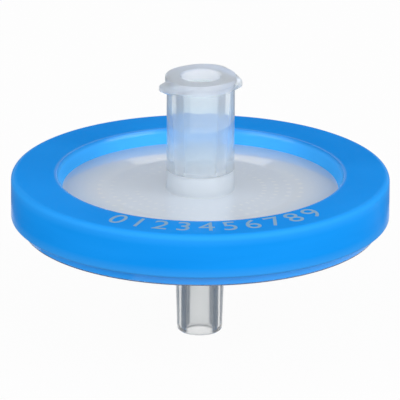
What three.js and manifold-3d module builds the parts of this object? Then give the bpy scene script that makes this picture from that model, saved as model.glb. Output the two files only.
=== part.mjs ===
// Syringe filter: a membrane disc clamped between two moulded housings, with a ring moulded round both.
// Millimetres, +Z up. The origin is the centre of the outlet tip's end face, on which the filter stands.
import * as THREE from 'three';
import { mergeVertices } from 'three/addons/utils/BufferGeometryUtils.js';
import Module from 'manifold-3d';

const wasm = await Module();
wasm.setup();

// ---- Driving dimensions ----

const overallHeight = 24.1;
const ringDiameter = 34.0;

// Outlet tip: a male Luer slip, 6 % on the diameter.
const luerTaper = 0.06;
const tipLength = 7.5;
const tipEndRadius = 2.03;
const tipBoreRadius = 1.23;
const tipBoreChamfer = 0.12;
const tipEdge = 0.2;

// Outlet housing above its tip: a collar, a shallow cone and a flat flange.
const outletCollarRadius = 3.4;
const outletCollarHeight = 1.35;
const outletConeRise = 0.92;
const outletFlangeThickness = 1.86;
const outletWellRadius = 1.8;
const drainDepth = 0.5;

// Membrane.
const membraneThickness = 0.2;

// Inlet housing: flange, low rim and a plate that falls slightly towards it.
const inletFlangeThickness = 1.45;
const inletRimHeight = 0.1;
const inletRimWidth = 0.8;
const inletRimFillet = 0.08;
const inletPlateFall = THREE.MathUtils.degToRad(1.5);
const inletWall = 1.0;
const inletRibDepth = 0.4;
const inletRibClearance = 0.2;

// Inlet hub: a female Luer lock with a collar round its rim and two short thread lugs.
const hubRadius = 3.05;
const hubCollarStep = 0.15;
const hubCollarHeight = 0.45;
const hubFillet = 0.15;
const hubFloor = 0.4;
const boreMouthRadius = 2.12;
const boreChamfer = 0.06;
const orificeRadius = 0.9;
const lugHeight = 0.75;
const lugBaseWidth = 1.3;
const lugCrestWidth = 0.6;
const lugLead = 5.0;
const lugDrop = 1.05;
const lugStart = 8;
const lugRamp = 4;
const lugFade = 12;
const lugSweep = 60;

// Concentric ribs and the radial channels that cut them, on both housings.
const ribPitch = 1.1;
const ribWidth = 0.45;
const firstRibRadius = 4.3;
const ribEdgeMargin = 0.8;
const channelCount = 8;
const channelWidth = 0.7;
const channelStart = 11.5;

// Moulded ring.
const ringWall = 1.0;
const ringStep = 1.0;
const ringLipHeight = 1.3;
const ringLipSlope = 0.5;
const ringTopFillet = 0.5;
const ringBottomFillet = 0.25;
const ringMouthFillet = 0.15;

// Widths of the bands that hold the pieces together, and clearances.
const flangeLedge = 1.25;
const sealWidth = 2.2;
const clampWidth = 0.6;
const mouldGap = 0.05;

// Fineness of the round surfaces.
const roundSegments = 60;
const ribSegments = 36;
const filletSteps = 3;
const lugStepAngle = 6;

// ---- Places worked out from them ----

const ringRadius = ringDiameter / 2;
const outletFlangeRadius = ringRadius - ringWall - mouldGap;
const inletFlangeRadius = outletFlangeRadius - flangeLedge;
const membraneRadius = inletFlangeRadius - sealWidth;
const chamberRadius = membraneRadius - clampWidth;
const rimOuterRadius = membraneRadius + inletRimWidth / 2;
const rimInnerRadius = rimOuterRadius - inletRimWidth;
const lipFootRadius = rimInnerRadius + inletRimWidth / 3;
const mouthRadius = lipFootRadius + ringLipSlope;

const collarTop = tipLength + outletCollarHeight;
const outletFlangeBottom = collarTop + outletConeRise;
const supportTop = outletFlangeBottom + outletFlangeThickness;
const drainFloor = supportTop - drainDepth;
const membraneTop = supportTop + membraneThickness;
const inletFlangeTop = supportTop + inletFlangeThickness;

const plateSlope = Math.tan(inletPlateFall);
const ceilingEdge = membraneTop + inletRibClearance + inletRibDepth;
const ceilingAt = (radius) => ceilingEdge + (chamberRadius - radius) * plateSlope;
const plateTopAt = (radius) => ceilingAt(radius) + inletWall;
const rimTop = plateTopAt(rimInnerRadius) + inletRimHeight;
const ringBottom = outletFlangeBottom + ringStep;
const ringTop = rimTop + ringLipHeight;
const hubCollarRadius = hubRadius + hubCollarStep;
const lugCrestRadius = hubRadius + lugHeight;
const boreFloor = plateTopAt(hubRadius) + hubFloor;
const boreFloorRadius = boreMouthRadius - (overallHeight - boreFloor) * luerTaper / 2;
const tipRootRadius = tipEndRadius + tipLength * luerTaper / 2;

// ---- Helpers ----

const point = (radius, height) => new THREE.Vector2(radius, height);

// Points on an arc in the section plane, angles in degrees from the outward radius.
function arc(centreRadius, centreHeight, radius, from, to) {
  return Array.from({ length: filletSteps + 1 }, (_, step) => {
    const angle = THREE.MathUtils.degToRad(from + (to - from) * step / filletSteps);
    return point(centreRadius + radius * Math.cos(angle), centreHeight + radius * Math.sin(angle));
  });
}

// Turns a closed section round the Z axis. The section runs anticlockwise: outwards along its bottom.
function turned(section, segments = roundSegments) {
  return new THREE.LatheGeometry([...section, section[0]], segments).rotateX(Math.PI / 2);
}

function toSolid(geometry) {
  geometry.deleteAttribute('normal');
  geometry.deleteAttribute('uv');
  const merged = mergeVertices(geometry);
  const vertProperties = new Float32Array(merged.attributes.position.array);
  const triVerts = new Uint32Array(merged.index.array);
  return new wasm.Manifold(new wasm.Mesh({ numProp: 3, vertProperties, triVerts }));
}

function toGeometry(solid) {
  const { vertProperties, triVerts } = solid.getMesh();
  const geometry = new THREE.BufferGeometry();
  geometry.setAttribute('position', new THREE.BufferAttribute(vertProperties, 3));
  geometry.setIndex(new THREE.BufferAttribute(triVerts, 1));
  geometry.computeVertexNormals();
  return geometry;
}

function named(name, geometry, colour, roughness) {
  const mesh = new THREE.Mesh(geometry, new THREE.MeshStandardMaterial({ color: colour, roughness, metalness: 0 }));
  mesh.name = name;
  return mesh;
}

// ---- Ribs and channels shared by the two housings ----

function ribRadii(firstRadius) {
  const count = Math.floor((chamberRadius - ribEdgeMargin - firstRadius) / ribPitch) + 1;
  return Array.from({ length: count }, (_, index) => firstRadius + index * ribPitch);
}

function rib(radius, bottom, top) {
  const inner = radius - ribWidth / 2;
  const outer = radius + ribWidth / 2;
  return toSolid(turned([point(inner, bottom), point(outer, bottom), point(outer, top), point(inner, top)], ribSegments));
}

// One bar for each channel, tall enough to cut every rib from side to side.
function channelBars(bottom, top) {
  const bars = Array.from({ length: channelCount }, (_, index) => {
    const bar = new THREE.BoxGeometry(chamberRadius, channelWidth, top - bottom);
    bar.translate(chamberRadius / 2 + hubRadius / 2, 0, (bottom + top) / 2);
    bar.rotateZ(THREE.MathUtils.degToRad(channelStart) + index * 2 * Math.PI / channelCount);
    return toSolid(bar);
  });
  return bars.reduce((joined, bar) => joined.add(bar));
}

function cutRibs(ribs, bottom, top) {
  return ribs.reduce((joined, next) => joined.add(next)).subtract(channelBars(bottom, top));
}

// ---- Outlet housing ----

function outletBody() {
  return toSolid(turned([
    point(tipBoreRadius + tipBoreChamfer, 0),
    ...arc(tipEndRadius - tipEdge, tipEdge, tipEdge, -90, 0),
    point(tipRootRadius, tipLength),
    point(outletCollarRadius - tipEdge, tipLength),
    point(outletCollarRadius, tipLength + tipEdge),
    point(outletCollarRadius, collarTop),
    point(chamberRadius, outletFlangeBottom),
    point(outletFlangeRadius, outletFlangeBottom),
    point(outletFlangeRadius, supportTop),
    point(chamberRadius, supportTop),
    point(chamberRadius, drainFloor),
    point(outletWellRadius, drainFloor),
    point(tipBoreRadius, drainFloor - (outletWellRadius - tipBoreRadius)),
    point(tipBoreRadius, tipBoreChamfer),
  ]));
}

// The membrane lies on these ribs, and the filtrate drains between them to the tip's bore.
function supportRibs() {
  const root = drainFloor - drainDepth / 2;
  const ribs = ribRadii(firstRibRadius - ribPitch).map((radius) => rib(radius, root, supportTop));
  return cutRibs(ribs, root - ribWidth, supportTop + ribWidth);
}

function outletHousing() {
  return toGeometry(outletBody().add(supportRibs()));
}

// ---- Inlet housing ----

function inletSection() {
  const filletFoot = rimInnerRadius - inletRimFillet;
  const hubFoot = hubRadius + hubFillet;
  const collarFoot = overallHeight - hubCollarHeight - hubCollarStep;
  return [
    point(orificeRadius, ceilingAt(orificeRadius)),
    point(chamberRadius, ceilingAt(chamberRadius)),
    point(chamberRadius, membraneTop),
    point(membraneRadius + mouldGap, membraneTop),
    point(membraneRadius + mouldGap, supportTop),
    point(inletFlangeRadius, supportTop),
    point(inletFlangeRadius, inletFlangeTop),
    point(rimOuterRadius, inletFlangeTop),
    point(rimOuterRadius, rimTop),
    point(rimInnerRadius, rimTop),
    ...arc(filletFoot, plateTopAt(filletFoot) + inletRimFillet, inletRimFillet, 0, -90),
    ...arc(hubFoot, plateTopAt(hubFoot) + hubFillet, hubFillet, 270, 180),
    point(hubRadius, collarFoot),
    point(hubCollarRadius, overallHeight - hubCollarHeight),
    point(hubCollarRadius, overallHeight),
    point(boreMouthRadius + boreChamfer, overallHeight),
    point(boreMouthRadius, overallHeight - boreChamfer),
    point(boreFloorRadius, boreFloor),
    point(orificeRadius, boreFloor),
  ];
}

// Ribs under the plate spread the liquid over the membrane and stop just above it.
function ceilingRibs() {
  const ribs = ribRadii(firstRibRadius).map((radius) => {
    const ceiling = ceilingAt(radius);
    return rib(radius, ceiling - inletRibDepth, ceiling + inletWall / 3);
  });
  return cutRibs(ribs, membraneTop, boreFloor);
}

// Section of a lug at a turn along its thread: the crest rises at once and fades into the hub's wall.
function lugSection(turn) {
  const rootRadius = (hubRadius + boreMouthRadius + boreChamfer) / 2;
  const rise = Math.min(1, turn / lugRamp, (lugSweep - turn) / (lugSweep - lugFade));
  const crestRadius = THREE.MathUtils.lerp(hubRadius + boreChamfer, lugCrestRadius, rise);
  const height = overallHeight - lugDrop + lugLead * turn / 360;
  return [
    [rootRadius, height - lugBaseWidth / 2],
    [hubRadius, height - lugBaseWidth / 2],
    [crestRadius, height - lugCrestWidth / 2],
    [crestRadius, height + lugCrestWidth / 2],
    [hubRadius, height + lugBaseWidth / 2],
    [rootRadius, height + lugBaseWidth / 2],
  ];
}

function lug(startAngle) {
  const steps = Math.ceil(lugSweep / lugStepAngle);
  const turns = [0, ...Array.from({ length: steps }, (_, step) => lugRamp + (lugSweep - lugRamp) * step / (steps - 1))];
  const corners = lugSection(0).length;
  const positions = turns.flatMap((turn) => {
    const angle = THREE.MathUtils.degToRad(startAngle + turn);
    return lugSection(turn).flatMap(([radius, height]) => [radius * Math.cos(angle), radius * Math.sin(angle), height]);
  });
  const faces = [];
  for (let ring = 0; ring < turns.length - 1; ring += 1) {
    for (let corner = 0; corner < corners; corner += 1) {
      const here = ring * corners + corner;
      const beside = ring * corners + (corner + 1) % corners;
      faces.push(here, here + corners, beside, beside, here + corners, beside + corners);
    }
  }
  const last = (turns.length - 1) * corners;
  for (let corner = 1; corner < corners - 1; corner += 1) {
    faces.push(0, corner, corner + 1);
    faces.push(last, last + corner + 1, last + corner);
  }
  const geometry = new THREE.BufferGeometry();
  geometry.setAttribute('position', new THREE.Float32BufferAttribute(positions, 3));
  geometry.setIndex(faces);
  return toSolid(geometry);
}

// Both lugs, cut off level with the hub's rim.
function lugs() {
  const side = lugCrestRadius * 4;
  const aboveRim = toSolid(new THREE.BoxGeometry(side, side, side).translate(0, 0, overallHeight + side / 2));
  return lug(lugStart).add(lug(lugStart + 180)).subtract(aboveRim);
}

function inletHousing() {
  return toGeometry(toSolid(turned(inletSection())).add(ceilingRibs()).add(lugs()));
}

// ---- Membrane and ring ----

function filterMembrane() {
  const disc = new THREE.CylinderGeometry(membraneRadius, membraneRadius, membraneThickness, roundSegments);
  return disc.rotateX(Math.PI / 2).translate(0, 0, supportTop + membraneThickness / 2);
}

function overmouldRing() {
  return turned([
    point(ringRadius - ringWall, ringBottom),
    ...arc(ringRadius - ringBottomFillet, ringBottom + ringBottomFillet, ringBottomFillet, -90, 0),
    ...arc(ringRadius - ringTopFillet, ringTop - ringTopFillet, ringTopFillet, 0, 90),
    ...arc(mouthRadius + ringMouthFillet, ringTop - ringMouthFillet, ringMouthFillet, 90, 180),
    point(lipFootRadius, rimTop),
    point(rimOuterRadius + mouldGap, rimTop),
    point(rimOuterRadius + mouldGap, inletFlangeTop),
    point(inletFlangeRadius + mouldGap, inletFlangeTop),
    point(inletFlangeRadius + mouldGap, supportTop),
    point(ringRadius - ringWall, supportTop),
  ]);
}

const filter = new THREE.Group();
filter.add(
  named('outlet_housing', outletHousing(), 0xd9dcdf, 0.2),
  named('filter_membrane', filterMembrane(), 0xf4f4f2, 0.85),
  named('inlet_housing', inletHousing(), 0xd3dae2, 0.3),
  named('overmould_ring', overmouldRing(), 0x1488ec, 0.32),
);

export default filter;
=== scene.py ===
import math

import bpy
from mathutils import Matrix, Vector


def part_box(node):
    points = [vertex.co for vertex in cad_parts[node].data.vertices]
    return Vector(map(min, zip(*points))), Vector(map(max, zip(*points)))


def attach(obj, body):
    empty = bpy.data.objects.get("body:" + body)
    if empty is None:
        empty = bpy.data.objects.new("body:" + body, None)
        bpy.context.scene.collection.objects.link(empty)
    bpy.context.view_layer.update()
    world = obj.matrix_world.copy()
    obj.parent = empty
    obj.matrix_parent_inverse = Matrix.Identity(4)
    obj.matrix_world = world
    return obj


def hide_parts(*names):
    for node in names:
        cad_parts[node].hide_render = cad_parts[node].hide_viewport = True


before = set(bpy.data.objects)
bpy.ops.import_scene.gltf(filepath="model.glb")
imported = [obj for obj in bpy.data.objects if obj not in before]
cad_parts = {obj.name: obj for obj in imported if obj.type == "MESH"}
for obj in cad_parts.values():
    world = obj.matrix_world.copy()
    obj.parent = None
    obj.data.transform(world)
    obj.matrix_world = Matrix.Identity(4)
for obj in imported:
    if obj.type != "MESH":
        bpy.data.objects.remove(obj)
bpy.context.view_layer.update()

mm = 0.001
flatWeight = 90          # at 50 every face counts alike for the normals, above it the large ones count more


def arc(centreR, centreZ, radius, start, end, steps=8):
    # a round edge in the section, angles in degrees from straight outwards
    angles = [math.radians(start + (end - start) * k / steps) for k in range(steps + 1)]
    return [(centreR + radius * math.cos(a), centreZ + radius * math.sin(a)) for a in angles]


def addMesh(name, verts, faces):
    mesh = bpy.data.meshes.new(name)
    mesh.from_pydata(verts, [], faces)
    mesh.validate()
    piece = bpy.data.objects.new(name, mesh)
    bpy.context.scene.collection.objects.link(piece)
    return piece


def spin(name, section, segments):
    # a closed section in millimetres, turned round the upright axis; it runs outwards along its bottom
    turns = [2 * math.pi * k / segments for k in range(segments)]
    verts = [(r * math.cos(t) * mm, r * math.sin(t) * mm, z * mm) for t in turns for r, z in section]
    count = len(section)
    faces = []
    for k in range(segments):
        here = k * count
        beside = (k + 1) % segments * count
        for p in range(count):
            q = (p + 1) % count
            faces.append((here + p, beside + p, beside + q, here + q))
    return addMesh(name, verts, faces)


def blocks(name, count, firstAngle, inner, outer, width, bottom, top):
    # bars that stand like spokes, in millimetres
    half = width / 2
    corners = [(inner, -half), (outer, -half), (outer, half), (inner, half)]
    sides = [(0, 3, 2, 1), (4, 5, 6, 7), (0, 1, 5, 4), (1, 2, 6, 5), (2, 3, 7, 6), (3, 0, 4, 7)]
    verts = []
    faces = []
    for k in range(count):
        turn = Matrix.Rotation(math.radians(firstAngle + 360 * k / count), 4, "Z")
        start = len(verts)
        for z in (bottom, top):
            verts += [turn @ Vector((x * mm, y * mm, z * mm)) for x, y in corners]
        faces += [[start + corner for corner in side] for side in sides]
    return addMesh(name, verts, faces)


def applyAll(piece):
    graph = bpy.context.evaluated_depsgraph_get()
    mesh = bpy.data.meshes.new_from_object(piece.evaluated_get(graph))
    piece.modifiers.clear()
    piece.data = mesh


def combine(piece, other, operation):
    step = piece.modifiers.new("combine", "BOOLEAN")
    step.operation = operation
    step.solver = "MANIFOLD"
    step.object = other
    applyAll(piece)
    bpy.data.objects.remove(other)
    return piece


def finishPiece(piece, node, material, edgeAngle=32):
    mesh = piece.data
    mesh.materials.clear()
    mesh.materials.append(material)
    mesh.polygons.foreach_set("use_smooth", [True] * len(mesh.polygons))
    mesh.set_sharp_from_angle(angle=math.radians(edgeAngle))
    # long flat walls keep their own normals, so that light goes straight through them
    flat = piece.modifiers.new("flat", "WEIGHTED_NORMAL")
    flat.keep_sharp = True
    flat.weight = flatWeight
    applyAll(piece)
    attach(piece, "root")
    if node:
        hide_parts(node)
    print("made", piece.name, "with", len(piece.data.polygons), "faces")


# lengths in mm, angles in degrees
cameraSetup = {
    "distance": 900.0,
    "elevation": 19.1,
    "aimSide": -0.02,
    "aimHeight": 12.30,
    "roll": 0.3,
    "lens": 901.8,
    "sensor": 36,
    "nearest": 10,
}


def makeCamera():
    s = cameraSetup
    tilt = math.radians(s["elevation"])
    away = Vector((0, -math.cos(tilt), math.sin(tilt)))
    data = bpy.data.cameras.new("camera")
    data.lens = s["lens"]
    data.sensor_width = s["sensor"]
    data.clip_start = s["nearest"] * mm
    camera = bpy.data.objects.new("camera", data)
    aim = Vector((s["aimSide"] * mm, 0, s["aimHeight"] * mm))
    camera.location = aim + away * s["distance"] * mm
    roll = Matrix.Rotation(math.radians(s["roll"]), 4, "Z")
    camera.rotation_euler = ((-away).to_track_quat("-Z", "Y").to_matrix().to_4x4() @ roll).to_euler()
    bpy.context.scene.collection.objects.link(camera)
    bpy.context.scene.camera = camera


makeCamera()
print("camera placed")

# values that the materials share
materialSetup = {
    "noiseLow": 0.3,         # most of a noise lies between these two
    "noiseHigh": 0.7,
    "plasticIndex": 1.49,
}


def newMaterial(name):
    material = bpy.data.materials.new(name)
    material.use_nodes = True
    return material


def shaderInputs(tree):
    return tree.nodes["Principled BSDF"].inputs


def addAxes(tree):
    place = tree.nodes.new("ShaderNodeTexCoord")
    apart = tree.nodes.new("ShaderNodeSeparateXYZ")
    tree.links.new(place.outputs["Object"], apart.inputs["Vector"])
    return apart.outputs


def addReach(tree):
    # distance from the upright axis
    axes = addAxes(tree)
    flat = tree.nodes.new("ShaderNodeCombineXYZ")
    tree.links.new(axes["X"], flat.inputs["X"])
    tree.links.new(axes["Y"], flat.inputs["Y"])
    reach = tree.nodes.new("ShaderNodeVectorMath")
    reach.operation = "LENGTH"
    tree.links.new(flat.outputs["Vector"], reach.inputs[0])
    return reach.outputs["Value"]


def addHeight(tree):
    return addAxes(tree)["Z"]


def addTurn(tree):
    # angle round the upright axis
    axes = addAxes(tree)
    return addMaths(tree, "ARCTAN2", axes["Y"], axes["X"])


def addMaths(tree, operation, *values):
    maths = tree.nodes.new("ShaderNodeMath")
    maths.operation = operation
    for k, value in enumerate(values):
        if isinstance(value, float):
            maths.inputs[k].default_value = value
        else:
            tree.links.new(value, maths.inputs[k])
    return maths.outputs["Value"]


def addProduct(tree, first, second):
    return addMaths(tree, "MULTIPLY", first, second)


def addShare(tree, value, one, zero, unit=mm):
    # 1 at one place and 0 at the other, blended between them; places are in mm unless another unit is given
    share = tree.nodes.new("ShaderNodeMapRange")
    share.inputs["From Min"].default_value = min(one, zero) * unit
    share.inputs["From Max"].default_value = max(one, zero) * unit
    share.inputs["To Min"].default_value = 1.0 if one < zero else 0.0
    share.inputs["To Max"].default_value = 0.0 if one < zero else 1.0
    tree.links.new(value, share.inputs["Value"])
    return share.outputs["Result"]


def addNoise(tree, scale, detail=3.0, squash=1.0):
    # a squash above 1 makes level streaks instead of spots
    place = tree.nodes.new("ShaderNodeTexCoord")
    stretch = tree.nodes.new("ShaderNodeMapping")
    stretch.inputs["Scale"].default_value = (1, 1, squash)
    noise = tree.nodes.new("ShaderNodeTexNoise")
    noise.inputs["Scale"].default_value = scale
    noise.inputs["Detail"].default_value = detail
    tree.links.new(place.outputs["Object"], stretch.inputs["Vector"])
    tree.links.new(stretch.outputs["Vector"], noise.inputs["Vector"])
    return noise.outputs["Fac"]


def varyColour(tree, scale, one, other, squash=1.0):
    ramp = tree.nodes.new("ShaderNodeValToRGB")
    ends = ramp.color_ramp.elements
    ends[0].position = materialSetup["noiseLow"]
    ends[1].position = materialSetup["noiseHigh"]
    ends[0].color = (*one, 1)
    ends[1].color = (*other, 1)
    tree.links.new(addNoise(tree, scale, squash=squash), ramp.inputs["Fac"])
    tree.links.new(ramp.outputs["Color"], shaderInputs(tree)["Base Color"])


def varyRoughness(tree, scale, low, high):
    spread = tree.nodes.new("ShaderNodeMapRange")
    spread.inputs["From Min"].default_value = materialSetup["noiseLow"]
    spread.inputs["From Max"].default_value = materialSetup["noiseHigh"]
    spread.inputs["To Min"].default_value = low
    spread.inputs["To Max"].default_value = high
    tree.links.new(addNoise(tree, scale), spread.inputs["Value"])
    tree.links.new(spread.outputs["Result"], shaderInputs(tree)["Roughness"])


def addGrain(tree, scale, strength, depth):
    # very fine unevenness, with its depth in millimetres
    bump = tree.nodes.new("ShaderNodeBump")
    bump.inputs["Strength"].default_value = strength
    bump.inputs["Distance"].default_value = depth * mm
    tree.links.new(addNoise(tree, scale, detail=2.0), bump.inputs["Height"])
    tree.links.new(bump.outputs["Normal"], shaderInputs(tree)["Normal"])


def tintPart(tree, share, tint):
    mix = tree.nodes.new("ShaderNodeMix")
    mix.data_type = "RGBA"
    mix.inputs[7].default_value = (*tint, 1)
    tree.links.new(share, mix.inputs["Factor"])
    tree.links.new(shaderInputs(tree)["Base Color"].links[0].from_socket, mix.inputs[6])
    tree.links.new(mix.outputs[2], shaderInputs(tree)["Base Color"])


def roughenPart(tree, share, roughness):
    mix = tree.nodes.new("ShaderNodeMix")
    mix.inputs["B"].default_value = roughness
    tree.links.new(share, mix.inputs["Factor"])
    tree.links.new(shaderInputs(tree)["Roughness"].links[0].from_socket, mix.inputs["A"])
    tree.links.new(mix.outputs["Result"], shaderInputs(tree)["Roughness"])


def newSurface(name, look):
    # colour, roughness and grain vary a little over every surface
    material = newMaterial(name)
    tree = material.node_tree
    varyColour(tree, **look["colour"])
    varyRoughness(tree, **look["roughness"])
    addGrain(tree, **look["grain"])
    return material


def newPlastic(name, look):
    material = newSurface(name, look)
    tree = material.node_tree
    shaderInputs(tree)["IOR"].default_value = materialSetup["plasticIndex"]
    return material


# a pair of numbers in the looks below is two places in mm: full effect at the first, none at the second
ringLook = {
    "colour": {"scale": 70, "one": (0.0, 0.215, 0.67), "other": (0.006, 0.26, 0.76), "squash": 6.0},
    "roughness": {"scale": 240, "low": 0.14, "high": 0.18},
    "grain": {"scale": 900, "strength": 0.12, "depth": 0.04},
    "plainShine": 0.01,
    "lipShine": 0.36,
    "lipReach": (13.06, 13.16),
    "lipHeight": (14.5, 14.4),
    "lipFace": (12.8, 12.93),
    "lipPaintedLightTint": (0.05, 0.40, 0.94),
    "wall": (16.9, 16.4),
    "wallShare": 0.45,
    "wallTint": (0.008, 0.23, 0.68),
    "upperPaintedHighlight": (14.6, 13.7),
    "upperPaintedHighlightTint": (0.022, 0.29, 0.78),
    "lowerPaintedSheen": (10.8, 11.8),
    "lowerPaintedSheenTint": (0.035, 0.26, 0.66),
}


def blueRingPlastic():
    look = ringLook
    material = newPlastic("blueRingPlastic", look)
    tree = material.node_tree
    reach = addReach(tree)
    height = addHeight(tree)
    # the lip is thin and polished; its inner face is painted lighter blue, as painted light coming through
    # the lip
    lipHeight = addShare(tree, height, *look["lipHeight"])
    lip = addProduct(tree, addShare(tree, reach, *look["lipReach"]), lipHeight)
    shine = tree.nodes.new("ShaderNodeMapRange")
    shine.inputs["To Min"].default_value = look["plainShine"]
    shine.inputs["To Max"].default_value = look["lipShine"]
    tree.links.new(lip, shine.inputs["Value"])
    tree.links.new(shine.outputs["Result"], shaderInputs(tree)["Specular IOR Level"])
    tintPart(tree, addShare(tree, reach, *look["lipFace"]), look["lipPaintedLightTint"])
    # the outer wall is painted slightly greyer than the top, as painted shade for how the light falls on it
    wall = addShare(tree, reach, *look["wall"])
    tintPart(tree, addProduct(tree, wall, look["wallShare"]), look["wallTint"])
    # its upper edge gets a lighter painted highlight and its lower edge a greyer painted sheen
    for edge in ("upperPaintedHighlight", "lowerPaintedSheen"):
        share = addProduct(tree, wall, addShare(tree, height, *look[edge]))
        tintPart(tree, share, look[edge + "Tint"])
    return material


bandLook = {
    "colour": {"scale": 60, "one": (0.012, 0.27, 0.76), "other": (0.02, 0.31, 0.84)},
    "roughness": {"scale": 200, "low": 0.05, "high": 0.10},
    "grain": {"scale": 700, "strength": 0.15, "depth": 0.04},
}


def blueUnderClear():
    return newPlastic("blueUnderClear", bandLook)


milkyLook = {
    "colour": {"scale": 200, "one": (0.935, 0.97, 0.995), "other": (0.95, 0.98, 0.998)},
    "roughness": {"scale": 300, "low": 0.46, "high": 0.54},
    "grain": {"scale": 2500, "strength": 0.05, "depth": 0.01},
    "coatRoughness": 0.015,
    "coatIndex": 1.8,
}


def milkyPlastic(name, clearness, coat=0.0):
    material = newPlastic(name, milkyLook)
    tree = material.node_tree
    inputs = shaderInputs(tree)
    inputs["Transmission Weight"].default_value = clearness
    inputs["Coat Weight"].default_value = coat
    inputs["Coat Roughness"].default_value = milkyLook["coatRoughness"]
    inputs["Coat IOR"].default_value = milkyLook["coatIndex"]
    return material


plateLook = {
    "clearness": 0.4,
    "coat": 1.0,
    "middle": (8.0, 11.5),
    "middleTint": (0.79, 0.86, 0.95),
    "border": (12.0, 8.7),
    "borderTint": (0.49, 0.67, 0.93),
    "spokes": 48.0,              # dots in each ring
    "dotsTo": (9.6, 10.2),
    "dotsFrom": (5.4, 4.6),
    "paintedGlintTint": (0.93, 0.97, 1.0),
    "patchScale": 190,
    "patches": (0.6, 0.36),      # parts of the noise, not places
}


def milkyPlate():
    look = plateLook
    material = milkyPlastic("milkyPlate", look["clearness"], look["coat"])
    tree = material.node_tree
    reach = addReach(tree)
    # painted light: the plate gets a bluish grey tone in the middle and a stronger blue towards the ring,
    # for the ring's light
    for zone in ("middle", "border"):
        tintPart(tree, addShare(tree, reach, *look[zone]), look[zone + "Tint"])
    # faint rows of lighter dots are painted over the rib ends below as painted glints, and they fade in
    # patches
    rows = addMaths(tree, "SINE", addProduct(tree, reach, 2 * math.pi / (ribSizes["pitch"] * mm)))
    spokes = addMaths(tree, "SINE", addProduct(tree, addTurn(tree), look["spokes"]))
    dots = addProduct(tree, addMaths(tree, "MAXIMUM", rows, 0.0), addMaths(tree, "MAXIMUM", spokes, 0.0))
    inner = addShare(tree, reach, *look["dotsFrom"])
    seen = addProduct(tree, addShare(tree, reach, *look["dotsTo"]), inner)
    patches = addNoise(tree, look["patchScale"], detail=1.0)
    faded = addProduct(tree, seen, addShare(tree, patches, *look["patches"], unit=1))
    tintPart(tree, addProduct(tree, dots, faded), look["paintedGlintTint"])
    return material


footLook = {
    "clearness": 0.4,
    "side": (5.0, 6.0),
    "sideTint": (0.74, 0.79, 0.83),
    "bottom": (13.45, 14.1),
    "bottomPaintedShadeTint": (0.67, 0.725, 0.77),
}


def milkyFoot():
    look = footLook
    material = milkyPlastic("milkyFoot", look["clearness"])
    tree = material.node_tree
    # it is painted greyer to blend into the plate it stands on, with painted shade at its bottom where it
    # meets the plate
    side = addShare(tree, addReach(tree), *look["side"])
    tintPart(tree, side, look["sideTint"])
    bottom = addShare(tree, addHeight(tree), *look["bottom"])
    tintPart(tree, bottom, look["bottomPaintedShadeTint"])
    return material


hubLook = {
    "clearness": 0.74,
    "coat": 0.4,
    "inside": (3.3, 3.5),        # the hub's wall, not its lugs
    "belowRim": (22.6, 23.3),
    "aboveFoot": (15.5, 15.2),
    "rim": (23.2, 22.9),
    "rimTint": (0.88, 0.905, 0.94),
    "wallTint": (0.76, 0.88, 0.96),
    "wallRoughness": 0.16,
    "high": (22.2, 20.9),
    "highTint": (0.80, 0.855, 0.895),
    "low": (15.6, 19.5),
    "lowTint": (0.90, 0.945, 0.975),
    "clear": (19.2, 17.2),
    "clearRoughness": 0.03,
}


def milkyHub():
    look = hubLook
    material = milkyPlastic("milkyHub", look["clearness"], look["coat"])
    tree = material.node_tree
    height = addHeight(tree)
    shares = {zone: addShare(tree, height, *look[zone])
              for zone in ("belowRim", "aboveFoot", "rim", "high", "low", "clear")}
    inside = addShare(tree, addReach(tree), *look["inside"])
    # the wall is clearer and darker than the frosted rim and foot
    wall = addProduct(tree, inside, addProduct(tree, shares["belowRim"], shares["aboveFoot"]))
    tintPart(tree, addProduct(tree, inside, shares["rim"]), look["rimTint"])
    tintPart(tree, wall, look["wallTint"])
    tintPart(tree, addProduct(tree, wall, shares["high"]), look["highTint"])
    tintPart(tree, addProduct(tree, inside, shares["low"]), look["lowTint"])
    roughenPart(tree, wall, look["wallRoughness"])
    # its upper part is the clearest
    roughenPart(tree, addProduct(tree, wall, shares["clear"]), look["clearRoughness"])
    return material


outletLook = {
    "colour": {"scale": 160, "one": (0.83, 0.845, 0.85), "other": (0.865, 0.875, 0.88)},
    "roughness": {"scale": 260, "low": 0.13, "high": 0.16},
    "grain": {"scale": 500, "strength": 0.08, "depth": 0.03},
    "clearness": 0.93,
    "end": (0.2, 1.0),
    "endPaintedShadeTint": (0.74, 0.755, 0.76),
}


def clearPlastic():
    look = outletLook
    material = newPlastic("clearPlastic", look)
    tree = material.node_tree
    shaderInputs(tree)["Transmission Weight"].default_value = look["clearness"]
    # the tip's end is painted darker grey, as painted shade where more of the wall is seen through
    end = addShare(tree, addHeight(tree), *look["end"])
    tintPart(tree, end, look["endPaintedShadeTint"])
    return material


filmLook = {
    "colour": {"scale": 2500, "one": (0.94, 0.965, 0.985), "other": (0.965, 0.985, 0.998)},
    "roughness": {"scale": 2500, "low": 0.75, "high": 0.9},
    "grain": {"scale": 9000, "strength": 0.3, "depth": 0.01},
}


def membraneFilm():
    return newSurface("membraneFilm", filmLook)


inkLook = {
    "colour": {"scale": 1500, "one": (0.145, 0.285, 0.43), "other": (0.17, 0.31, 0.465)},
    "roughness": {"scale": 1500, "low": 0.45, "high": 0.6},
    "grain": {"scale": 6000, "strength": 0.2, "depth": 0.01},
}


def greyInk():
    return newSurface("greyInk", inkLook)


# sizes of the moulded ring, in mm like all the sizes below
ringSizes = {
    "segments": 360,
    "topFillet": 0.55,
    "bottomFillet": 0.25,
    "mouthFillet": 0.15,
    "lipSlope": 0.5,         # how far the lip leans in from mouth to foot
    "lipHeight": 1.3,
    "lipFoot": 12.367,
    "rimOuter": 12.95,
    "flangeTop": 13.08,
    "housingEdge": 14.75,
    "wall": 1.0,
}


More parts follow.
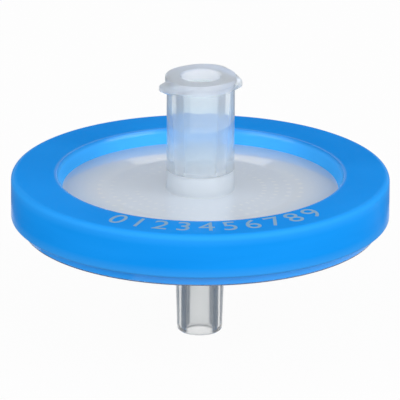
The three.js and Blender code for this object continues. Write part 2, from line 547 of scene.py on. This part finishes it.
def makeRing(material):
    low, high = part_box("overmould_ring")
    outer = high.x / mm
    bottom, top = low.z / mm, high.z / mm
    s = ringSizes
    inner = outer - s["wall"]
    mouth = s["lipFoot"] + s["lipSlope"]
    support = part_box("outlet_housing")[1].z / mm
    middle = (mouth + outer) / 2
    section = [
        (inner, bottom),
        *arc(outer - s["bottomFillet"], bottom + s["bottomFillet"], s["bottomFillet"], -90, 0),
        (outer, (bottom + top) / 2),
        *arc(outer - s["topFillet"], top - s["topFillet"], s["topFillet"], 0, 90, steps=12),
        (middle, top),
        *arc(mouth + s["mouthFillet"], top - s["mouthFillet"], s["mouthFillet"], 90, 180),
        (s["lipFoot"], top - s["lipHeight"]),
        (s["rimOuter"], top - s["lipHeight"]),
        (s["rimOuter"], s["flangeTop"]),
        (s["housingEdge"], s["flangeTop"]),
        (s["housingEdge"], support),
        (inner, support),
    ]
    ring = spin("overmouldRing", section, s["segments"])
    finishPiece(ring, "overmould_ring", material)


# band under the ring: blue plastic behind the flange's clear skin
bandSizes = {
    "segments": 360,
    "outer": 15.97,
    "inner": 15.2,
    "bottom": 9.84,
    "edge": 0.12,
    "overlap": 0.05,         # how far it reaches into the ring
}


def makeBand(material):
    s = bandSizes
    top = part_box("overmould_ring")[0].z / mm + s["overlap"]
    section = [
        (s["inner"], s["bottom"]),
        *arc(s["outer"] - s["edge"], s["bottom"] + s["edge"], s["edge"], -90, 0, steps=6),
        (s["outer"], (s["bottom"] + top) / 2),
        (s["outer"], top),
        (s["inner"], top),
    ]
    band = spin("flangeBand", section, s["segments"])
    finishPiece(band, None, material)


# numbers printed on the ring
printSizes = {
    "characters": "0123456789",
    "height": 2.25,
    "fontShare": 1.4,        # font size for a number of height 1
    "curveSteps": 8,
    "radius": 14.62,
    "firstAngle": -120.0,
    "step": 8.1,
    "ink": 0.012,
}


def makePrint(material):
    s = printSizes
    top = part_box("overmould_ring")[1].z / mm
    verts = []
    faces = []
    for k, character in enumerate(s["characters"]):
        curve = bpy.data.curves.new("number" + character, "FONT")
        curve.body = character
        curve.align_x = "CENTER"
        curve.align_y = "CENTER"
        curve.size = s["height"] * s["fontShare"] * mm
        curve.extrude = s["ink"] * mm
        curve.resolution_u = s["curveSteps"]
        carrier = bpy.data.objects.new("number" + character, curve)
        bpy.context.scene.collection.objects.link(carrier)
        graph = bpy.context.evaluated_depsgraph_get()
        mesh = bpy.data.meshes.new_from_object(carrier.evaluated_get(graph))
        angle = s["firstAngle"] + s["step"] * k
        turn = Matrix.Rotation(math.radians(angle + 90), 4, "Z")
        place = turn @ Matrix.Translation((0, -s["radius"] * mm, top * mm))
        start = len(verts)
        verts += [place @ v.co for v in mesh.vertices]
        faces += [[start + i for i in f.vertices] for f in mesh.polygons]
        bpy.data.objects.remove(carrier)
    numbers = addMesh("ringNumbers", verts, faces)
    finishPiece(numbers, None, material)


inletSizes = {
    "segments": 256,
    "flangeTop": 13.08,
    "plateLow": 13.36,       # lowest level of the plate's top, where the border starts
    "rimTop": 13.53,
    "rimInner": 12.1,
    "rimOuter": 12.9,
    "plateRise": 0.12,
    "borderFrom": 8.3,
    "borderSlope": 0.044,
    "footGap": 0.1,          # the plate's surface stops this short of the hub's fillet
    "bendGap": 0.05,         # the dome stops this short of the border
    "rimGap": 0.1,           # the border stops this short of the rim
    "wall": 0.92,
    "chamber": 11.9,
    "membraneGap": 0.05,     # round the membrane
    "membraneLift": 0.01,    # above the membrane
    "hubRadius": 3.05,
    "hubCollar": 3.2,
    "collarHeight": 0.45,
    "collarEdge": 0.1,
    "collarSlope": 2,        # the collar's foot lies this many times its step below it
    "collarStart": -50,      # degrees at which the collar's round edge starts
    "hubFillet": 0.15,
    "filletStart": 264,      # degrees at which the fillet leaves the plate
    "hubFloor": 0.6,
    "boreMouth": 1.78,
    "boreChamfer": 0.12,
    "boreTaper": 0.03,
    "orifice": 0.6,
    "rimEdge": 0.12,
    "lugReach": 0.9,         # the hub's own plastic goes this far past its foot
    "wallFrom": 15.3,        # the hub's own plastic above, the foot's below
}

# ribs and radial channels of both housings
ribSizes = {
    "segments": 192,
    "first": 4.3,
    "pitch": 1.1,
    "count": 7,
    "width": 0.5,
    "depth": 0.07,
    "root": 0.3,             # how far a rib goes into the plate
    "drainRoot": 0.25,
    "channels": 8,
    "channelWidth": 0.7,
    "channelStart": 11.5,    # degrees
    "channelInner": 3.5,
    "channelHeights": (11.0, 16.0),
    "drainInner": 2.2,
    "drainHeights": (9.0, 14.0),
    "overrun": 1,            # how far the cut for a channel passes the chamber's wall
}

# angles in degrees
lugSizes = {
    "crest": 3.8,
    "crestWidth": 0.6,
    "base": 1.3,
    "drop": 1.05,
    "lead": 5.0,             # rise in a whole turn
    "start": 7,
    "sweep": 125,
    "steps": 80,
    "ramp": 5,               # the lug comes up to its full reach over this angle
    "fade": 6,               # and gets lower from here to its end
    "fadePower": 1.8,
    "leastReach": 0.13,
    "startWidth": 0.55,      # share of the full width where the lug starts
    "edge": 0.12,
    "edgeShare": 0.6,
    "edgeFlank": 0.5,        # where the rounded edge starts and bends, as shares of it
    "edgeBend": 0.3,
    "cutHalf": 10,           # half the block that trims what stands above the rim
}


def plateTop(radius):
    # the plate is a very flat dome with a slightly raised border
    s = inletSizes
    if radius < s["borderFrom"]:
        return s["plateLow"] + s["plateRise"] * (1 - (radius / s["borderFrom"]) ** 2)
    return s["plateLow"] + s["borderSlope"] * (radius - s["borderFrom"])


def ceiling(radius):
    return plateTop(radius) - inletSizes["wall"]


def zoneRadii(inner, outer, steps=12):
    return [inner + (outer - inner) * k / steps for k in range(steps + 1)]


def ribRadii(start=0):
    return [ribSizes["first"] + ribSizes["pitch"] * k for k in range(start, ribSizes["count"])]


def channelBars(name, inner, chamber, heights):
    r = ribSizes
    return blocks(name, r["channels"], r["channelStart"], inner, chamber + r["overrun"],
                  r["channelWidth"], *heights)


def makeRibs(levels, bars):
    # levels are the radius, bottom and top of each rib, and the bars cut the channels
    half = ribSizes["width"] / 2
    pieces = []
    for k, (radius, bottom, top) in enumerate(levels):
        inner, outer = radius - half, radius + half
        section = [(inner, bottom), (outer, bottom), (outer, top), (inner, top)]
        pieces.append(spin("rib" + str(k), section, ribSizes["segments"]))
    ribs = pieces[0]
    for other in pieces[1:]:
        combine(ribs, other, "UNION")
    return combine(ribs, bars, "DIFFERENCE")


def lugMesh(name, start):
    s = lugSizes
    h = inletSizes
    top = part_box("inlet_housing")[1].z / mm
    root = (h["hubRadius"] + h["boreMouth"] + h["boreChamfer"]) / 2
    verts = []
    for k in range(s["steps"] + 1):
        turn = s["sweep"] * k / s["steps"]
        rise = math.sin(min(1, turn / s["ramp"]) * math.pi / 2)
        fall = min(1, (s["sweep"] - turn) / (s["sweep"] - s["fade"])) ** s["fadePower"]
        reach = s["leastReach"] + (s["crest"] - h["hubRadius"] - s["leastReach"]) * rise * fall
        thin = s["startWidth"] + (1 - s["startWidth"]) * rise
        middle = top - s["drop"] + s["lead"] * turn / 360
        halfBase = s["base"] / 2 * thin
        halfCrest = s["crestWidth"] / 2 * thin
        soft = min(s["edge"], reach * s["edgeShare"])
        tip = h["hubRadius"] + reach
        bend = soft * s["edgeBend"]
        # half of the lug's section, as radius and distance from its middle
        half = [
            (root, halfBase),
            (h["hubRadius"], halfBase),
            (tip - soft, halfCrest + soft * s["edgeFlank"]),
            (tip - bend, halfCrest - bend),
            (tip, halfCrest - soft),
        ]
        outline = [(r, middle - z) for r, z in half] + [(r, middle + z) for r, z in reversed(half)]
        angle = math.radians(start + turn)
        verts += [(r * math.cos(angle) * mm, r * math.sin(angle) * mm, z * mm) for r, z in outline]
    count = len(outline)
    faces = []
    for k in range(s["steps"]):
        for p in range(count):
            q = (p + 1) % count
            faces.append((k * count + p, (k + 1) * count + p, (k + 1) * count + q, k * count + q))
    faces.append(list(range(count)))
    faces.append([s["steps"] * count + p for p in reversed(range(count))])
    return addMesh(name, verts, faces)


def addLugs(housing, top):
    lugs = [lugMesh("lugOne", lugSizes["start"]), lugMesh("lugTwo", lugSizes["start"] + 180)]
    half = lugSizes["cutHalf"]
    aboveRim = blocks("aboveRim", 1, 0, -half, half, 2 * half, top, top + half)
    lugPair = combine(combine(lugs[0], lugs[1], "UNION"), aboveRim, "DIFFERENCE")
    combine(housing, lugPair, "UNION")


def makeInletHousing(material, hubMaterial, footMaterial):
    low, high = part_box("inlet_housing")
    s = inletSizes
    top = high.z / mm
    flange = high.x / mm
    support = low.z / mm
    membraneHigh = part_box("filter_membrane")[1]
    membraneEdge = membraneHigh.x / mm + s["membraneGap"]
    membraneTop = membraneHigh.z / mm + s["membraneLift"]
    hubFoot = s["hubRadius"] + s["hubFillet"]
    floor = plateTop(s["hubRadius"]) + s["hubFloor"]
    floorRadius = s["boreMouth"] - (top - floor) * s["boreTaper"]
    collarFoot = top - s["collarHeight"] - s["collarSlope"] * (s["hubCollar"] - s["hubRadius"])
    edge = s["rimEdge"]
    collarEdge = s["collarEdge"]
    border = zoneRadii(s["borderFrom"], s["rimInner"] - s["rimGap"])
    dome = zoneRadii(hubFoot + s["footGap"], s["borderFrom"] - s["bendGap"])
    section = [
        *[(r, ceiling(r)) for r in zoneRadii(s["orifice"], s["chamber"])],
        (s["chamber"], membraneTop),
        (membraneEdge, membraneTop),
        (membraneEdge, support),
        (flange, support),
        (flange, s["flangeTop"]),
        (s["rimOuter"], s["flangeTop"]),
        (s["rimOuter"], s["rimTop"]),
        (s["rimInner"], s["rimTop"]),
        *[(r, plateTop(r)) for r in reversed(border)],
        *[(r, plateTop(r)) for r in reversed(dome)],
        *arc(hubFoot, plateTop(hubFoot) + s["hubFillet"], s["hubFillet"], s["filletStart"], 180),
        (s["hubRadius"], s["wallFrom"]),
        (s["hubRadius"], collarFoot),
        *arc(s["hubCollar"] - collarEdge, top - s["collarHeight"], collarEdge, s["collarStart"], 0, steps=4),
        *arc(s["hubCollar"] - edge, top - edge, edge, 0, 90, steps=5),
        (s["boreMouth"] + s["boreChamfer"], top),
        (s["boreMouth"], top - s["boreChamfer"]),
        (floorRadius, floor),
        (s["orifice"], floor),
    ]
    housing = spin("inletHousing", section, s["segments"])
    r = ribSizes
    levels = [(q, ceiling(q) - r["depth"], ceiling(q) + r["root"]) for q in ribRadii()]
    bars = channelBars("channels", r["channelInner"], s["chamber"], r["channelHeights"])
    combine(housing, makeRibs(levels, bars), "UNION")
    addLugs(housing, top)
    finishPiece(housing, "inlet_housing", material)
    housing.data.materials.append(hubMaterial)
    housing.data.materials.append(footMaterial)
    for face in housing.data.polygons:
        reach = math.hypot(face.center.x, face.center.y)
        if reach < (hubFoot + s["lugReach"]) * mm and face.center.z > s["wallFrom"] * mm:
            face.material_index = 1
        elif reach < hubFoot * mm and face.center.z > s["plateLow"] * mm:
            face.material_index = 2


outletSizes = {
    "segments": 256,
    "tipEnd": 2.03,
    "tipTaper": 0.03,
    "tipLength": 7.5,
    "tipBore": 1.23,
    "tipEdge": 0.34,
    "boreEdge": 0.12,
    "collar": 3.4,
    "collarHeight": 1.35,
    "collarEdge": 0.25,
    "coneRise": 0.92,
    "flangeEdge": 0.06,
    "flangeGap": 0.01,       # between this housing's flange and the other's
    "chamber": 11.9,
    "well": 1.8,
    "drainDepth": 0.5,
    "rootFillet": 0.4,
}


def makeOutletHousing(material):
    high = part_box("outlet_housing")[1]
    s = outletSizes
    flange = high.x / mm
    support = high.z / mm - s["flangeGap"]
    bottom = s["tipLength"] + s["collarHeight"] + s["coneRise"]
    drain = support - s["drainDepth"]
    root = s["tipEnd"] + s["tipLength"] * s["tipTaper"]
    edge = s["tipEdge"]
    fillet = s["rootFillet"]
    collarEdge = s["collarEdge"]
    flangeEdge = s["flangeEdge"]
    section = [
        (s["tipBore"] + s["boreEdge"], 0),
        *arc(s["tipEnd"] - edge, edge, edge, -90, 0),
        (root, s["tipLength"] - fillet),
        *arc(root + fillet, s["tipLength"] - fillet, fillet, 180, 90),
        *arc(s["collar"] - collarEdge, s["tipLength"] + collarEdge, collarEdge, -90, 0),
        (s["collar"], s["tipLength"] + s["collarHeight"]),
        (s["chamber"], bottom),
        *arc(flange - flangeEdge, bottom + flangeEdge, flangeEdge, -90, 0, steps=4),
        (flange, support),
        (s["chamber"], support),
        (s["chamber"], drain),
        (s["well"], drain),
        (s["tipBore"], drain - (s["well"] - s["tipBore"])),
        (s["tipBore"], s["boreEdge"]),
    ]
    housing = spin("outletHousing", section, s["segments"])
    r = ribSizes
    levels = [(q, drain - r["drainRoot"], support) for q in ribRadii(-1)]
    bars = channelBars("drains", r["drainInner"], s["chamber"], r["drainHeights"])
    combine(housing, makeRibs(levels, bars), "UNION")
    finishPiece(housing, "outlet_housing", material)


membraneSizes = {
    "segments": 192,
    "centre": 0.001,         # radius at the axis, so that no face there shrinks to nothing
    "gap": 0.01,
    "embossRise": 0.02,
    "dotRadius": 0.17,
    "dotRise": 0.1,
    "dotsFrom": 5.2,
    "dotRows": 5,
    "dotSides": 16,
    "dotLayers": 4,
    "edgeAngle": 60,
}


def addDot(verts, faces, turn, radius, bottom):
    # a low dome on the film, where a rib's end presses on it
    s = membraneSizes
    around, layers = s["dotSides"], s["dotLayers"]
    start = len(verts)
    for layer in range(layers + 1):
        tilt = math.pi / 2 * layer / layers
        size = s["dotRadius"] * math.cos(tilt) + s["centre"]
        height = bottom + s["dotRise"] * math.sin(tilt)
        for k in range(around):
            angle = 2 * math.pi * k / around
            place = Vector((radius + size * math.cos(angle), size * math.sin(angle), height))
            verts.append(turn @ (place * mm))
    for layer in range(layers):
        for k in range(around):
            a = start + layer * around + k
            b = start + layer * around + (k + 1) % around
            faces.append([a, b, b + around, a + around])
    faces.append([start + layers * around + k for k in range(around)])
    faces.append([start + k for k in reversed(range(around))])


def makeMembrane(material):
    low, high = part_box("filter_membrane")
    s = membraneSizes
    r = ribSizes
    radius = high.x / mm
    bottom = low.z / mm + s["gap"]
    top = high.z / mm - s["gap"]
    section = [(s["centre"], bottom), (radius, bottom), (radius, top)]
    # the ribs below press faint rings into the film
    for middle in reversed(ribRadii(-1)):
        section += [(middle + r["width"], top - s["embossRise"]), (middle, top)]
    section.append((s["centre"], top))
    film = spin("filterMembrane", section, s["segments"])
    verts = [v.co.copy() for v in film.data.vertices]
    faces = [list(f.vertices) for f in film.data.polygons]
    for k in range(r["channels"]):
        turn = Matrix.Rotation(math.radians(r["channelStart"] + 360 * k / r["channels"]), 4, "Z")
        for row in range(s["dotRows"]):
            addDot(verts, faces, turn, s["dotsFrom"] + r["pitch"] * row, top)
    bpy.data.objects.remove(film)
    film = addMesh("filterMembrane", verts, faces)
    finishPiece(film, "filter_membrane", material, s["edgeAngle"])


makeRing(blueRingPlastic())
makeBand(blueUnderClear())
makePrint(greyInk())
makeInletHousing(milkyPlate(), milkyHub(), milkyFoot())
makeOutletHousing(clearPlastic())
makeMembrane(membraneFilm())

stageSetup = {
    "middleHeight": 13,      # mm, where the lamps aim and from where the far cards' rise is measured
    "floorHalf": 3.0,        # metres
    "floorColour": 0.6,
    "floorGlow": 0.96,
    "worldLight": 0.62,
}


def addRays(tree):
    # 1 for rays that show the background: straight from the camera, mirrored or through clear plastic
    rays = tree.nodes.new("ShaderNodeLightPath").outputs
    first = addMaths(tree, "MAXIMUM", rays["Is Camera Ray"], rays["Is Glossy Ray"])
    return addMaths(tree, "MAXIMUM", first, rays["Is Transmission Ray"])


def makeFloor():
    s = stageSetup
    half = s["floorHalf"]
    corners = [(-half, -half, 0), (half, -half, 0), (half, half, 0), (-half, half, 0)]
    floor = addMesh("floor", corners, [(0, 1, 2, 3)])
    material = newMaterial("paleFloor")
    tree = material.node_tree
    tree.nodes.remove(tree.nodes["Principled BSDF"])
    diffuse = tree.nodes.new("ShaderNodeBsdfDiffuse")
    diffuse.inputs["Color"].default_value = (s["floorColour"], s["floorColour"], s["floorColour"], 1)
    glow = tree.nodes.new("ShaderNodeEmission")
    mix = tree.nodes.new("ShaderNodeMixShader")
    tree.links.new(addProduct(tree, addRays(tree), s["floorGlow"]), mix.inputs["Fac"])
    tree.links.new(diffuse.outputs[0], mix.inputs[1])
    tree.links.new(glow.outputs[0], mix.inputs[2])
    tree.links.new(mix.outputs[0], tree.nodes["Material Output"].inputs["Surface"])
    floor.data.materials.append(material)
    floor.visible_transmission = False


def makeWorld():
    world = bpy.data.worlds.new("studio")
    world.use_nodes = True
    tree = world.node_tree
    background = tree.nodes["Background"]
    background.inputs["Color"].default_value = (1, 1, 1, 1)
    level = tree.nodes.new("ShaderNodeMapRange")
    level.inputs["To Min"].default_value = stageSetup["worldLight"]
    level.inputs["To Max"].default_value = 1.0
    tree.links.new(addRays(tree), level.inputs["Value"])
    tree.links.new(level.outputs["Result"], background.inputs["Strength"])
    bpy.context.scene.world = world


# cards that the camera doesn't see: the upright and side ones show only through the clear plastic, the
# others only in reflections, and light passes them; angles in degrees, lengths in mm
cardSetup = {
    "uprights": [(40, 32), (140, 32), (225, 24), (315, 24)],       # middle and half width
    "uprightHeights": (-60.0, -9.0),
    "uprightColour": (0.08, 0.16, 0.26),
    "sides": [(30, 30), (150, 30)],                                # middle and half width
    "sideHeights": (-9.0, 40.0),
    "sideColour": (0.2, 0.34, 0.56),
    "nearRadius": 60.0,
    "farRadius": 700.0,
    "behind": [(60, 120, 12, 22.5)],                               # from, to, lowest and highest rise
    "behindColour": (0.5, 0.53, 0.57),
    "back": [(-25, 60, -8, 62), (120, 205, -8, 62)],
    "floorParts": [(32, 166, 40), (166, 235, 20)],                 # from, to, inner radius
    "floorPartHeight": 0.3,
    "darkColour": (0.25, 0.27, 0.3),
    "steps": 24,
    "roughness": 0.9,
}


def nearStrips(parts, heights):
    lower, upper = [(cardSetup["nearRadius"], height) for height in heights]
    return [(middle - half, middle + half, lower, upper) for middle, half in parts]


def farStrips(parts):
    radius, middle = cardSetup["farRadius"], stageSetup["middleHeight"]
    strips = []
    for start, end, *rises in parts:
        lower, upper = [(radius, middle + radius * math.tan(math.radians(rise))) for rise in rises]
        strips.append((start, end, lower, upper))
    return strips


def floorStrips(parts):
    radius, height = cardSetup["farRadius"], cardSetup["floorPartHeight"]
    return [(start, end, (inner, height), (radius, height)) for start, end, inner in parts]


def addStrip(verts, faces, start, end, lower, upper):
    # a curved card between two angles, given its lower and upper edge as (radius, height)
    first = len(verts)
    steps = cardSetup["steps"]
    for k in range(steps + 1):
        angle = math.radians(start + (end - start) * k / steps)
        for r, z in (lower, upper):
            verts.append((r * math.cos(angle) * mm, r * math.sin(angle) * mm, z * mm))
    for k in range(steps):
        a = first + 2 * k
        faces.append((a, a + 2, a + 3, a + 1))


def makeCards(name, colour, strips, mirrored):
    verts = []
    faces = []
    for strip in strips:
        addStrip(verts, faces, *strip)
    cards = addMesh(name, verts, faces)
    material = newMaterial(name + "Surface")
    tree = material.node_tree
    shaderInputs(tree)["Base Color"].default_value = (*colour, 1)
    shaderInputs(tree)["Roughness"].default_value = cardSetup["roughness"]
    cards.data.materials.append(material)
    cards.visible_camera = False
    cards.visible_diffuse = False
    cards.visible_shadow = False
    cards.visible_glossy = mirrored
    cards.visible_transmission = not mirrored


# place and size in mm, power in watts
lampSetup = {
    "keyLamp": {"place": (392, -227, 224), "size": 400, "power": 1.53},
    "frontLamp": {"place": (0, -453, 224), "size": 400, "power": 0.98},
    "fillLamp": {"place": (-392, -227, 224), "size": 400, "power": 0.98},
}


def makeLamp(name, place, size, power):
    data = bpy.data.lights.new(name, "AREA")
    data.size = size * mm
    data.energy = power
    lamp = bpy.data.objects.new(name, data)
    lamp.location = Vector(place) * mm
    aim = Vector((0, 0, stageSetup["middleHeight"] * mm)) - lamp.location
    lamp.rotation_euler = aim.to_track_quat("-Z", "Y").to_euler()
    bpy.context.scene.collection.objects.link(lamp)


makeFloor()
makeWorld()
makeCards("uprightCards", cardSetup["uprightColour"],
          nearStrips(cardSetup["uprights"], cardSetup["uprightHeights"]), False)
makeCards("sideCards", cardSetup["sideColour"],
          nearStrips(cardSetup["sides"], cardSetup["sideHeights"]), False)
makeCards("greyCards", cardSetup["behindColour"], farStrips(cardSetup["behind"]), True)
makeCards("darkCards", cardSetup["darkColour"],
          farStrips(cardSetup["back"]) + floorStrips(cardSetup["floorParts"]), True)
for name, lamp in lampSetup.items():
    makeLamp(name, **lamp)
bpy.context.scene.view_settings.view_transform = "Standard"
print("floor, world, cards and lamps placed")
